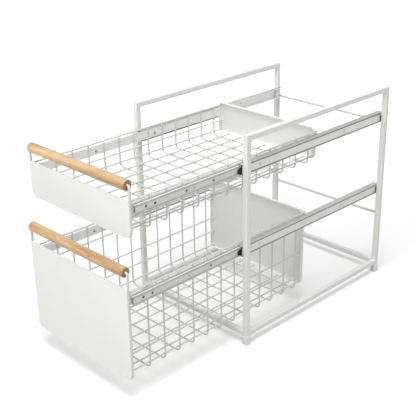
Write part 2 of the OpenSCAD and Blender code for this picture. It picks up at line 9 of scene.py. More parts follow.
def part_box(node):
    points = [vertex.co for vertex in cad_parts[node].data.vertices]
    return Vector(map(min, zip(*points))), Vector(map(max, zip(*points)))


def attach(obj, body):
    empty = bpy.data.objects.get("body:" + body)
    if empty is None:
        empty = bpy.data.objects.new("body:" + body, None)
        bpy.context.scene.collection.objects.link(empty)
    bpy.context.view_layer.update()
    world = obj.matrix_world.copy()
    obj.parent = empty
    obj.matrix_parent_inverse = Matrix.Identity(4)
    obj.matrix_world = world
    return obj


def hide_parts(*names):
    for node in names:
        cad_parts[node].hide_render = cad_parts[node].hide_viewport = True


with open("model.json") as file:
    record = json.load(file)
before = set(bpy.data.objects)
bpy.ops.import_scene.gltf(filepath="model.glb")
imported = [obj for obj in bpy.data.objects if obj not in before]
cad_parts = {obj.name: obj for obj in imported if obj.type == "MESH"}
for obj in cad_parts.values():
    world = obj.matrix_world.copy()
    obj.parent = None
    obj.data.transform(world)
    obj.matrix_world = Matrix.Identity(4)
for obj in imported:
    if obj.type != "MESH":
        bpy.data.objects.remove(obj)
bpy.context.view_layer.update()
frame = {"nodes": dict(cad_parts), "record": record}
nodes = frame["nodes"]

DRAWERS = ("upper", "lower")
MM = 0.001
# Two places this close are taken as one, and corners this close are merged
SAME = 1e-5
MERGE = 1e-6

# The rack's own middle on the floor, from its posts
post_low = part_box("left_front_post")[0]
post_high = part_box("right_rear_post")[1]
rack_mid = Vector(((post_low[0] + post_high[0]) / 2, (post_low[1] + post_high[1]) / 2, 0))

# Camera: its place from the rack's middle, its direction and its roll
CAMERA_AT = Vector((1.0369, -1.1717, 0.8450))
CAMERA_AZIMUTH = math.radians(45.47)
CAMERA_ELEVATION = math.radians(23.56)
CAMERA_ROLL = math.radians(-0.90)
CAMERA_LENS = 75.02


def add_camera():
    """The camera at the photograph's viewing angle."""
    a, e, r = CAMERA_AZIMUTH, CAMERA_ELEVATION, CAMERA_ROLL
    back = Vector((math.sin(a) * math.cos(e), -math.cos(a) * math.cos(e), math.sin(e)))
    right = (-back).cross(Vector((0, 0, 1))).normalized()
    up = back.cross(right)
    x_axis = math.cos(r) * right + math.sin(r) * up
    y_axis = -math.sin(r) * right + math.cos(r) * up
    turn = Matrix((x_axis, y_axis, back)).transposed()
    bpy.ops.object.camera_add(location=rack_mid + CAMERA_AT, rotation=turn.to_euler())
    camera = bpy.context.object
    camera.data.lens = CAMERA_LENS
    camera.data.sensor_width = 36
    camera.data.clip_start = 0.05
    camera.data.clip_end = 50
    bpy.context.scene.camera = camera


def shader(name):
    """A new material with its node tree, its output and its Principled shader."""
    material = bpy.data.materials.new(name)
    material.use_nodes = True
    tree = material.node_tree
    return material, tree, tree.nodes["Principled BSDF"]


def object_noise(tree, scale, detail=3.0, stretch=(1, 1, 1)):
    """Noise on the object's own coordinates, scale in lumps per metre."""
    coords = tree.nodes.new("ShaderNodeTexCoord")
    mapping = tree.nodes.new("ShaderNodeMapping")
    mapping.inputs["Scale"].default_value = stretch
    noise = tree.nodes.new("ShaderNodeTexNoise")
    noise.inputs["Scale"].default_value = scale
    noise.inputs["Detail"].default_value = detail
    tree.links.new(coords.outputs["Object"], mapping.inputs["Vector"])
    tree.links.new(mapping.outputs["Vector"], noise.inputs["Vector"])
    return noise


def ramp(tree, source, low, high, from_low=0.3, from_high=0.7):
    """Maps a noise to a range of numbers."""
    node = tree.nodes.new("ShaderNodeMapRange")
    node.inputs["From Min"].default_value = from_low
    node.inputs["From Max"].default_value = from_high
    node.inputs["To Min"].default_value = low
    node.inputs["To Max"].default_value = high
    tree.links.new(source, node.inputs["Value"])
    return node.outputs["Result"]


def colour_ramp(tree, source, stops):
    """Maps a noise to colours: stops are (place, colour)."""
    node = tree.nodes.new("ShaderNodeValToRGB")
    elements = node.color_ramp.elements
    while len(elements) < len(stops):
        elements.new(0.5)
    for element, (place, colour) in zip(elements, stops):
        element.position = place
        element.color = (*colour, 1)
    tree.links.new(source, node.inputs["Fac"])
    return node.outputs["Color"]


def cloudy(tree, noise, colour, share, ends=(0.3, 0.7)):
    """A colour that a noise darkens to a share of itself."""
    darker = tuple(c * share for c in colour)
    return colour_ramp(tree, noise.outputs["Fac"], ((ends[0], darker), (ends[1], colour)))


def blend_colours(tree, amount, first, second, kind="MIX"):
    """Blends two colours, each a socket or a value, by an amount."""
    mix = tree.nodes.new("ShaderNodeMix")
    mix.data_type = "RGBA"
    mix.blend_type = kind
    tree.links.new(amount, mix.inputs["Factor"])
    for place, given in (("A", first), ("B", second)):
        if isinstance(given, tuple):
            mix.inputs[place].default_value = (*given, 1)
        else:
            tree.links.new(given, mix.inputs[place])
    return mix.outputs["Result"]


def axis_of(tree, axis):
    """One of the object's own coordinates."""
    coords = tree.nodes.new("ShaderNodeTexCoord")
    split = tree.nodes.new("ShaderNodeSeparateXYZ")
    tree.links.new(coords.outputs["Object"], split.inputs[0])
    return split.outputs[axis]


def maths(tree, operation, first, second=None):
    """A sum of one or two numbers, each a socket or a value."""
    node = tree.nodes.new("ShaderNodeMath")
    node.operation = operation
    for place, given in enumerate((first, second)):
        if isinstance(given, (int, float)):
            node.inputs[place].default_value = given
        elif given is not None:
            tree.links.new(given, node.inputs[place])
    return node.outputs[0]


def roughen(tree, bsdf, noise, low, high):
    """Roughness that follows a noise."""
    tree.links.new(ramp(tree, noise.outputs["Fac"], low, high), bsdf.inputs["Roughness"])


def bump(tree, bsdf, noise, distance, strength):
    """Bumps a shader by a noise."""
    node = tree.nodes.new("ShaderNodeBump")
    node.inputs["Strength"].default_value = strength
    node.inputs["Distance"].default_value = distance
    tree.links.new(noise.outputs["Fac"], node.inputs["Height"])
    tree.links.new(node.outputs["Normal"], bsdf.inputs["Normal"])


def powder_coat(name, colour, peel=900, rough=0.42):
    """Satin powder coat: a fine orange peel and a slow change of tone."""
    material, tree, bsdf = shader(name)
    tone = object_noise(tree, 14, 2)
    tree.links.new(cloudy(tree, tone, colour, 0.965), bsdf.inputs["Base Color"])
    skin = object_noise(tree, peel, 2)
    roughen(tree, bsdf, skin, rough - 0.04, rough + 0.06)
    bump(tree, bsdf, skin, 0.12 * MM, 0.35)
    return material


# Rolling lines run along Y, and the plating's clouds fade between these levels
ROLLED = (14, 0.35, 14)
CLOUD_ENDS = (0.35, 0.65)


def rolled_steel(name, colour, rough, metal):
    """Zinc-plated rolled steel: fine lines along the rail, and cloudy plating."""
    material, tree, bsdf = shader(name)
    lines = object_noise(tree, 60, 4, ROLLED)
    cloud = object_noise(tree, 40, 3)
    tree.links.new(cloudy(tree, cloud, colour, 0.86, CLOUD_ENDS), bsdf.inputs["Base Color"])
    roughen(tree, bsdf, lines, rough - 0.08, rough + 0.12)
    bsdf.inputs["Metallic"].default_value = metal
    bump(tree, bsdf, lines, 0.06 * MM, 0.4)
    return material


def polished_steel(name, colour):
    """Bearing steel, with a faint haze of grease."""
    material, tree, bsdf = shader(name)
    haze = object_noise(tree, 300, 2)
    roughen(tree, bsdf, haze, 0.08, 0.2)
    tree.links.new(cloudy(tree, haze, colour, 0.93), bsdf.inputs["Base Color"])
    bsdf.inputs["Metallic"].default_value = 1.0
    return material


def moulded(name, colour, rough, shine=0.5):
    """Moulded plastic or rubber with a fine spark-eroded grain."""
    material, tree, bsdf = shader(name)
    skin = object_noise(tree, 1400, 2)
    lighter = tuple(min(1, c * 1.15 + 0.004) for c in colour)
    tone = colour_ramp(tree, skin.outputs["Fac"], ((0.3, colour), (0.7, lighter)))
    tree.links.new(tone, bsdf.inputs["Base Color"])
    roughen(tree, bsdf, skin, rough - 0.06, rough + 0.08)
    bsdf.inputs["Specular IOR Level"].default_value = shine
    bump(tree, bsdf, skin, 0.1 * MM, 0.4)
    return material


BEECH_GRAIN = ((0.33, (0.41, 0.235, 0.105)), (0.5, (0.56, 0.37, 0.195)), (0.67, (0.68, 0.50, 0.30)))
BEECH_END = ((0.3, (0.24, 0.13, 0.065)), (0.7, (0.38, 0.23, 0.125)))
BEECH_FLECK = (0.38, 0.21, 0.10)


def beech(name, end):
    """Oiled beech along X: long soft grain, short dark flecks, darker end grain past the ends."""
    material, tree, bsdf = shader(name)
    grain = object_noise(tree, 90, 6, (0.08, 1, 1))
    fleck = object_noise(tree, 420, 2, (0.09, 1, 1))
    base = colour_ramp(tree, grain.outputs["Fac"], BEECH_GRAIN)
    flecks = ramp(tree, fleck.outputs["Fac"], 1.0, 0.0, 0.28, 0.40)
    flecked = blend_colours(tree, flecks, base, BEECH_FLECK)
    along = maths(tree, "ABSOLUTE", axis_of(tree, "X"))
    cut = ramp(tree, along, 0.0, 1.0, end - 0.35 * MM, end - 0.05 * MM)
    rings = object_noise(tree, 900, 3)
    dark = colour_ramp(tree, rings.outputs["Fac"], BEECH_END)
    tree.links.new(blend_colours(tree, cut, flecked, dark), bsdf.inputs["Base Color"])
    roughen(tree, bsdf, grain, 0.42, 0.58)
    bump(tree, bsdf, fleck, 0.15 * MM, 0.4)
    return material


low_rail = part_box("lower_right_cabinet_rail")
high_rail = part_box("upper_right_cabinet_rail")
SLIDE_LOW = (low_rail[0][2] + low_rail[1][2]) / 2
SLIDE_HIGH = (high_rail[0][2] + high_rail[1][2]) / 2
ZINC = (0.90, 0.90, 0.88)
# Painted shade on the slides' faces, standing for the dark crease under each top corner, the shaded
# flanges and the dark undersides: height in mm from the slide's middle, and the share of light
# painted there
CABINET_PAINTED_SHADE = ((0, 0.84), (6.3, 0.82), (6.7, 0.28), (8.3, 0.24), (8.9, 0.64), (10.8, 0.60))
DRAWER_PAINTED_SHADE = ((0, 0.72), (4.5, 0.68), (4.9, 0.48), (5.8, 0.46), (6.2, 0.58), (7.2, 0.50))
BAND_REACH = 12 * MM
# Past these heights from a slide's middle, the painted shade covers every face of the flanges, not
# only the outer face
CABINET_EDGE = 10.3 * MM
DRAWER_EDGE = 7.0 * MM
# The creases lie less deep than this behind a rail's face, and faces this close to the outer face
# get the painted shade
CREASE_DEEP = 1.0 * MM


def slide_steel_painted_shade(name, shade_bands, face, edge):
    """Zinc-plated slide: rolling lines, and bands of painted shade (dark creases, shaded flanges,
    dark undersides) across its outer face and its edges.
    """
    material, tree, bsdf = shader(name)
    lines = object_noise(tree, 60, 4, ROLLED)
    cloud = object_noise(tree, 40, 3)
    from_low = maths(tree, "SUBTRACT", axis_of(tree, "Z"), SLIDE_LOW)
    height = maths(tree, "PINGPONG", from_low, (SLIDE_HIGH - SLIDE_LOW) / 2)
    share = ramp(tree, height, 0.0, 1.0, 0.0, BAND_REACH)
    tone = colour_ramp(tree, share, [(h / (BAND_REACH / MM), (t, t, t * 0.985)) for h, t in shade_bands])
    across = maths(tree, "ABSOLUTE", axis_of(tree, "X"))
    on_face = maths(tree, "GREATER_THAN", across, face - CREASE_DEEP)
    on_edge = maths(tree, "GREATER_THAN", height, edge)
    # Where the painted shade goes: the rail's outer face, and its flanges past the edge height
    painted_shade_mask = maths(tree, "MAXIMUM", on_face, on_edge)
    plating = cloudy(tree, cloud, ZINC, 0.94, CLOUD_ENDS)
    shade = blend_colours(tree, painted_shade_mask, plating, tone, "MULTIPLY")
    tree.links.new(shade, bsdf.inputs["Base Color"])
    roughen(tree, bsdf, lines, 0.34, 0.52)
    bsdf.inputs["Metallic"].default_value = 0.3
    bump(tree, bsdf, lines, 0.06 * MM, 0.4)
    return material


WHITE = (0.86, 0.86, 0.835)
HANDLE_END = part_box("upper_handle")[1][0]
MATERIALS = {
    "frame_white": powder_coat("frame_powder_coat", WHITE),
    "panel_white": powder_coat("panel_powder_coat", WHITE, 700, 0.45),
    # The wires' coat is a darker copy of the frame's white, painting the shade on the thin round
    # wires
    "wire_white": powder_coat("wire_powder_coat_shaded", (0.70, 0.70, 0.68), 1200, 0.46),
    # The strips' coat is a lighter copy of the frame's white, painting in light that their shaded
    # inner faces do not get
    "strip_white": powder_coat("strip_powder_coat_lit", (0.93, 0.93, 0.91), 900, 0.40),
    "rail_steel": rolled_steel("zinc_plated_steel", (0.86, 0.86, 0.84), 0.42, 0.35),
    "rivet_steel": rolled_steel("rivet_steel", (0.34, 0.34, 0.33), 0.38, 0.5),
    "ball_steel": polished_steel("ball_steel", (0.8, 0.8, 0.8)),
    "black_plastic": moulded("cage_plastic", (0.010, 0.010, 0.010), 0.55, 0.2),
    "black_rubber": moulded("buffer_rubber", (0.014, 0.014, 0.014), 0.7, 0.2),
    "foot_plastic": moulded("foot_plastic", (0.78, 0.78, 0.76), 0.5),
    "beech": beech("oiled_beech", HANDLE_END),
}
SCREW_STEEL = rolled_steel("screw_steel", (0.60, 0.60, 0.59), 0.42, 0.3)
drawer_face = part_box("upper_right_drawer_rail")[1][0]
CABINET_STEEL_PAINTED_SHADE = slide_steel_painted_shade("cabinet_rail_zinc_painted_shade", CABINET_PAINTED_SHADE, high_rail[1][0], CABINET_EDGE)
DRAWER_STEEL_PAINTED_SHADE = slide_steel_painted_shade("drawer_rail_zinc_painted_shade", DRAWER_PAINTED_SHADE, drawer_face, DRAWER_EDGE)


def dress_nodes():
    """Gives each CAD node the material of its slot."""
    slots = {part["node"]: part["material_slot"] for part in frame["record"]["subparts"]}
    for name, node in nodes.items():
        node.data.materials.clear()
        if name.endswith("cabinet_rail"):
            finish = CABINET_STEEL_PAINTED_SHADE
        elif name.endswith("drawer_rail"):
            finish = DRAWER_STEEL_PAINTED_SHADE
        elif name.endswith("rear_rod"):
            finish = MATERIALS["wire_white"]
        else:
            finish = MATERIALS[slots[name]]
        node.data.materials.append(finish)


def shape(name):
    """Names the primitive just added, puts its place into its mesh and opens it for shaping."""
    piece = bpy.context.object
    piece.name = name
    piece.data.name = name
    bpy.ops.object.transform_apply()
    bpy.ops.object.mode_set(mode="EDIT")
    return piece


def nothing():
    """Leaves nothing selected, because the loaded nodes start selected."""
    bpy.ops.object.select_all(action="DESELECT")


def pick(piece, kind, test):
    """In edit mode, selects only the faces, edges or corners that pass a test of place and way."""
    bpy.ops.mesh.select_mode(type=kind)
    bpy.ops.mesh.select_all(action="DESELECT")
    bpy.ops.object.mode_set(mode="OBJECT")
    mesh = piece.data
    corner = [v.co for v in mesh.vertices]
    if kind == "FACE":
        for face in mesh.polygons:
            face.select = test(face.center, face.normal)
    elif kind == "EDGE":
        for edge in mesh.edges:
            a, b = corner[edge.vertices[0]], corner[edge.vertices[1]]
            edge.select = test((a + b) / 2, (b - a).normalized())
    else:
        for vertex in mesh.vertices:
            vertex.select = test(vertex.co, vertex.normal)
    bpy.ops.object.mode_set(mode="EDIT")


def finished(piece, body, slot, *nodes_replaced, angle=35, finish=None):
    """Closes a piece: consistent normals, crisp edges by angle, the finish of its slot or the one
    given, its body, and hides the nodes it stands for.
    """
    bpy.ops.mesh.select_all(action="SELECT")
    bpy.ops.mesh.normals_make_consistent(inside=False)
    bpy.ops.object.mode_set(mode="OBJECT")
    bpy.ops.object.shade_smooth_by_angle(angle=math.radians(angle))
    piece.data.materials.clear()
    piece.data.materials.append(finish or MATERIALS[slot])
    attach(piece, body)
    if nodes_replaced:
        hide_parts(*nodes_replaced)


def middle(low, high):
    """The middle of a box."""
    return (Vector(low) + Vector(high)) / 2


def turned(axis, side):
    """Turns a piece's own Z to one side along X or Y."""
    if axis == "X":
        return Matrix(((0, 0, side), (0, 1, 0), (-side, 0, 0)))
    return Matrix(((1, 0, 0), (0, 0, side), (0, -side, 0)))


def side_of(low):
    """1 for a box on the right of the rack, -1 for one on its left."""
    return 1 if low[0] > 0 else -1


def solids(node):
    """The boxes of the separate solids of a node."""
    nothing()
    copy = nodes[node].copy()
    copy.data = nodes[node].data.copy()
    bpy.context.collection.objects.link(copy)
    copy.select_set(True)
    bpy.context.view_layer.objects.active = copy
    bpy.ops.object.mode_set(mode="EDIT")
    bpy.ops.mesh.select_all(action="SELECT")
    bpy.ops.mesh.remove_doubles(threshold=MERGE)
    bpy.ops.mesh.separate(type="LOOSE")
    bpy.ops.object.mode_set(mode="OBJECT")
    boxes = []
    for part in list(bpy.context.selected_objects):
        spots = [part.matrix_world @ v.co for v in part.data.vertices]
        low = Vector([min(s[i] for s in spots) for i in range(3)])
        high = Vector([max(s[i] for s in spots) for i in range(3)])
        boxes.append((low, high))
        bpy.data.objects.remove(part)
    return boxes


HANDLE_ROUND = 1.3 * MM
HANDLE_BORE = 2.3 * MM
BORE_CHAMFER = 0.3 * MM


def turned_handle(drawer):
    """Beech dowel: a cylinder with rounded ends, bored from end to end for the hoop."""
    node = drawer + "_handle"
    low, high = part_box(node)
    radius = (high[2] - low[2]) / 2
    end = (high[0] - low[0]) / 2
    nothing()
    bpy.ops.mesh.primitive_cylinder_add(
        vertices=72,
        radius=radius,
        depth=2 * end,
        location=middle(low, high),
        rotation=(0, math.pi / 2, 0),
    )
    handle = shape(drawer + "_turned_handle")
    pick(handle, "EDGE", lambda at, way: abs(abs(at.x) - end) < SAME and abs(way.x) < 0.5)
    bpy.ops.mesh.bevel(offset=HANDLE_ROUND, segments=5)
    pick(handle, "FACE", lambda at, way: abs(abs(at.x) - end) < SAME and abs(way.x) > 0.99)
    bpy.ops.mesh.inset(thickness=radius - HANDLE_ROUND - HANDLE_BORE - BORE_CHAMFER)
    bpy.ops.mesh.inset(thickness=BORE_CHAMFER, depth=-BORE_CHAMFER)
    bpy.ops.mesh.delete(type="FACE")
    bpy.ops.mesh.select_mode(type="EDGE")
    bpy.ops.mesh.select_non_manifold()
    bpy.ops.mesh.bridge_edge_loops()
    finished(handle, drawer + "_drawer", "beech", node)


def upright_sheet(name, low, high, y, turn):
    """A flat sheet across a box at one depth, opened for shaping."""
    nothing()
    bpy.ops.mesh.primitive_plane_add(
        size=1,
        location=((low[0] + high[0]) / 2, y, (low[2] + high[2]) / 2),
        rotation=(turn, 0, 0),
    )
    bpy.context.object.scale = (high[0] - low[0], high[2] - low[2], 1)
    return shape(name)


FRONT_RADIUS = 14 * MM
FRONT_TOP_RADIUS = 8 * MM
FRONT_EDGE = 0.4 * MM


def soft_front(drawer):
    """Front panel: a sheet with round corners and softly coated edges."""
    node = drawer + "_front_panel"
    low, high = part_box(node)
    thick = high[1] - low[1]
    panel = upright_sheet(drawer + "_front_sheet", low, high, low[1], math.pi / 2)
    half = (low[2] + high[2]) / 2
    pick(panel, "VERT", lambda at, way: at.z < half)
    bpy.ops.mesh.bevel(affect="VERTICES", offset=FRONT_RADIUS, segments=12)
    pick(panel, "VERT", lambda at, way: at.z > high[2] - SAME)
    bpy.ops.mesh.bevel(affect="VERTICES", offset=FRONT_TOP_RADIUS, segments=10)
    bpy.ops.mesh.select_all(action="SELECT")
    bpy.ops.mesh.extrude_region_move(TRANSFORM_OT_translate={"value": (0, thick, 0)})
    pick(panel, "EDGE", lambda at, way: abs(way.y) < 0.5)
    bpy.ops.mesh.bevel(offset=FRONT_EDGE, segments=3)
    finished(panel, drawer + "_drawer", "panel_white", node)


BACK_RADIUS = 9 * MM
BACK_SHEET = 1.2 * MM
BACK_FOLD = 1.8 * MM
BACK_EDGE = 0.35 * MM


def pressed_back(drawer):
    """Rear panel: one sheet, its rim turned forward all round over a soft bend, edges coated."""
    node = drawer + "_rear_panel"
    low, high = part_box(node)
    panel = upright_sheet(drawer + "_rear_sheet", low, high, high[1], -math.pi / 2)
    bpy.ops.mesh.select_mode(type="VERT")
    bpy.ops.mesh.select_all(action="SELECT")
    bpy.ops.mesh.bevel(affect="VERTICES", offset=BACK_RADIUS, segments=12)
    bpy.ops.mesh.select_mode(type="EDGE")
    bpy.ops.mesh.select_all(action="SELECT")
    bpy.ops.mesh.extrude_edges_move(TRANSFORM_OT_translate={"value": (0, low[1] - high[1], 0)})
    pick(panel, "EDGE", lambda at, way: at.y > high[1] - SAME and abs(way.y) < 0.5)
    bpy.ops.mesh.bevel(offset=BACK_FOLD, segments=5)
    bpy.ops.mesh.select_all(action="SELECT")
    bpy.ops.mesh.normals_make_consistent(inside=False)
    bpy.ops.object.mode_set(mode="OBJECT")
    wall = panel.modifiers.new("sheet", "SOLIDIFY")
    wall.thickness = BACK_SHEET
    wall.offset = -1
    rim = panel.modifiers.new("coated_edge", "BEVEL")
    rim.width = BACK_EDGE
    rim.segments = 2
    rim.limit_method = "ANGLE"
    rim.angle_limit = math.radians(60)
    for modifier in ("sheet", "coated_edge"):
        bpy.ops.object.modifier_apply(modifier=modifier)
    bpy.ops.object.mode_set(mode="EDIT")
    finished(panel, drawer + "_drawer", "panel_white", node)


# Share of a block's width and height that its nose ends in
NOSE_END = (0.3, 1, 0.45)


def softened(name, low, high, edge, nose=0.0):
    """A moulded block in a box, with a narrowing nose ahead of it and all its edges rounded."""
    nothing()
    bpy.ops.mesh.primitive_cube_add(size=1, location=middle(low, high))
    bpy.context.object.scale = [high[i] - low[i] for i in range(3)]
    block = shape(name)
    if nose:
        pick(block, "FACE", lambda at, way: way.y < -0.9)
        bpy.ops.mesh.extrude_region_move(TRANSFORM_OT_translate={"value": (0, -nose, 0)})
        bpy.ops.transform.resize(value=NOSE_END)
    bpy.ops.mesh.select_mode(type="EDGE")
    bpy.ops.mesh.select_all(action="SELECT")
    bpy.ops.mesh.bevel(offset=edge, segments=3)
    bpy.ops.object.mode_set(mode="OBJECT")
    return block


# The black guide and shoe at each rail's mouth are painted shade: dark pieces put where the gap
# between the rails lies in shadow
GUIDE_UP = 6 * MM
GUIDE_EDGE = 0.3 * MM
SHOE_AHEAD = 3 * MM
SHOE_BEHIND = 1 * MM
SHOE_DOWN = 7.2 * MM
SHOE_UP = 4.6 * MM
SHOE_IN = 0.4 * MM
SHOE_NOSE = 6 * MM
SHOE_EDGE = 0.35 * MM
BUFFER_EDGE = 0.8 * MM


def slide_stops():
    """In each cabinet rail: a black guide that fills the rail's mouth and stands in for its deep
    shade, a black shoe ahead of it whose narrowing nose paints that shade's fade, and a pale buffer
    at its back.
    """
    boxes = solids("rail_buffers")
    front = min(low.y for low, high in boxes)
    shade_guides, buffers = [], []
    for low, high in boxes:
        if low.y < front + 1 * MM:
            side = side_of(low)
            mid = (low.z + high.z) / 2
            shade_guides.append(softened("guide", low, (high.x, high.y, mid + GUIDE_UP), GUIDE_EDGE))
            left, right = low.x + SHOE_IN * max(-side, 0), high.x - SHOE_IN * max(side, 0)
            shoe_low = Vector((left, low.y - SHOE_AHEAD, mid - SHOE_DOWN))
            shoe_high = Vector((right, low.y + SHOE_BEHIND, mid + SHOE_UP))
            shade_guides.append(softened("shade_shoe", shoe_low, shoe_high, SHOE_EDGE, SHOE_NOSE))
        else:
            buffers.append(softened("buffer", low, high, BUFFER_EDGE))
    finished(joined(shade_guides, "front_shade_guides"), "frame", "black_plastic", "rail_buffers")
    finished(joined(buffers, "rear_buffers"), "frame", "foot_plastic", "rail_buffers")


PAD_AHEAD = 2.2 * MM
PAD_BEHIND = 0.1 * MM
PAD_DOWN = 6.2 * MM
PAD_UP = 5.2 * MM
PAD_THICK = 0.9 * MM
PAD_EDGE = 0.25 * MM


def rail_pads():
    """Thin black clips between the outer face of each cabinet rail and its rear post, standing in
    for the dark shadow line at that join.
    """
    inside, post_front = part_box("right_rear_post")[0][:2]
    copies = []
    for z in (SLIDE_LOW, SLIDE_HIGH):
        for side in (-1, 1):
            left, right = sorted((side * inside, side * (inside + PAD_THICK)))
            low = Vector((left, post_front - PAD_AHEAD, z - PAD_DOWN))
            high = Vector((right, post_front + PAD_BEHIND, z + PAD_UP))
            copies.append(softened("pad", low, high, PAD_EDGE))
    finished(joined(copies, "rail_rear_shadow_pads"), "frame", "black_plastic")


# Distances in mm from the front end of a rail to its open holes
CABINET_HOLES = (43, 274)
DRAWER_HOLES = {"upper": (33, 51, 116, 176), "lower": (32, 51, 180)}
SCREW_RADIUS = 2.15 * MM
SCREW_HEAD = 0.9 * MM
SCREW_ROUND = 0.4 * MM
SCREW_DEEP = 0.5 * MM
SOCKET_IN = 0.9 * MM
SOCKET_SLOPE = 0.15 * MM
SOCKET_DEEP = 0.5 * MM


def rail_screws():
    """Pan heads sunk in the open holes of the rails' webs."""
    nothing()
    bpy.ops.mesh.primitive_cylinder_add(vertices=24, radius=SCREW_RADIUS, depth=SCREW_HEAD)
    screw = shape("screw")
    pick(screw, "EDGE", lambda at, way: at.z > 0 and abs(way.z) < 0.5)
    bpy.ops.mesh.bevel(offset=SCREW_ROUND, segments=3)
    pick(screw, "FACE", lambda at, way: way.z > 0.99)
    bpy.ops.mesh.inset(thickness=SOCKET_IN)
    bpy.ops.mesh.inset(thickness=SOCKET_SLOPE, depth=-SOCKET_DEEP)
    bpy.ops.object.mode_set(mode="OBJECT")
    sets = [("frame", "cabinet_rail", "", CABINET_HOLES)]
    for drawer in DRAWERS:
        sets.append((drawer + "_drawer", "drawer_rail", drawer, DRAWER_HOLES[drawer]))
    for body, kind, start, holes in sets:
        copies = []
        for node in nodes:
            if node.endswith(kind) and node.startswith(start):
                low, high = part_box(node)
                side = side_of(low)
                face = max(abs(low[0]), abs(high[0]))
                for back in holes:
                    x, z = side * (face - SCREW_DEEP), (low[2] + high[2]) / 2
                    copies.append(copied(screw, (x, low[1] + back * MM, z), turned("X", side)))
        finished(joined(copies, body + "_rail_screws"), body, "rivet_steel", finish=SCREW_STEEL)
    bpy.data.objects.remove(screw)


def joined(copies, name):
    """Joins pieces to one."""
    nothing()
    for copy in copies:
        copy.select_set(True)
    bpy.context.view_layer.objects.active = copies[0]
    bpy.ops.object.join()
    whole = bpy.context.object
    whole.name = name
    whole.data.name = name
    bpy.ops.object.mode_set(mode="EDIT")
    return whole


def copied(model, place, turn=Matrix.Identity(3), size=(1, 1, 1)):
    """A copy with its own mesh, at a place, turned and stretched along its own axes."""
    copy = model.copy()
    copy.data = model.data.copy()
    bpy.context.collection.objects.link(copy)
    copy.data.transform(Matrix.Translation(place) @ (turn @ Matrix.Diagonal(size)).to_4x4())
    return copy


RIVET_HEAD = 2.5 * MM
RIVET_SHANK = 1.5 * MM
RIVET_THICK = 0.9 * MM
RIVET_DOME = RIVET_THICK * 0.85


def domed_rivets(name, body, node):
    """Rivets of a node: a domed head with the hollow that its mandrel left, and a shank."""
    nothing()
    bpy.ops.mesh.primitive_cylinder_add(vertices=28, radius=RIVET_HEAD, depth=RIVET_THICK)
    rivet = shape("rivet")
    pick(rivet, "EDGE", lambda at, way: at.z > 0 and abs(way.z) < 0.5)
    bpy.ops.mesh.bevel(offset=RIVET_DOME, segments=5)
    pick(rivet, "FACE", lambda at, way: way.z > 0.99 and at.z > 0)
    bpy.ops.mesh.inset(thickness=RIVET_HEAD - RIVET_DOME - RIVET_SHANK * 0.55)
    bpy.ops.mesh.inset(thickness=RIVET_SHANK * 0.1, depth=-RIVET_THICK * 0.35)
    pick(rivet, "FACE", lambda at, way: way.z < -0.99)
    bpy.ops.mesh.inset(thickness=RIVET_HEAD - RIVET_SHANK)
    # The shank's end goes far out here, and to its own depth in each copy
    bpy.ops.mesh.extrude_region_move(TRANSFORM_OT_translate={"value": (0, 0, -1)})
    bpy.ops.object.mode_set(mode="OBJECT")
    copies = []
    for low, high in solids(node):
        side = side_of(low)
        inner = min(abs(low.x), abs(high.x))
        outer = max(abs(low.x), abs(high.x))
        copy = copied(rivet, (0, 0, 0))
        for vertex in copy.data.vertices:
            if vertex.co.z < -0.5:
                vertex.co.z = -(outer - inner) + RIVET_THICK / 2
        x = side * (inner + RIVET_THICK / 2)
        at = Vector((x, (low.y + high.y) / 2, (low.z + high.z) / 2))
        copy.data.transform(Matrix.Translation(at) @ turned("X", -side).to_4x4())
        copies.append(copy)
    bpy.data.objects.remove(rivet)
    finished(joined(copies, name), body, "rivet_steel", node)


# Beads of weld: half their size along and across a wire, or along X, Y and Z
CROSSING_LONG = 1.35 * MM
CROSSING_FLAT = 0.62 * MM
WIRE_END_BEAD = (1.9 * MM, 1.0 * MM, 1.9 * MM)
HOOP_BEAD = (1.5 * MM, 0.9 * MM, 3.0 * MM)
WIRE_END_BACK = 0.2 * MM
HOOP_BEAD_IN = 2 * MM
HOOP_BEAD_AHEAD = 0.6 * MM
# Heights of the hoop's beads, as shares of the front panel's height
HOOP_BEADS_AT = (0.2, 0.5, 0.8)


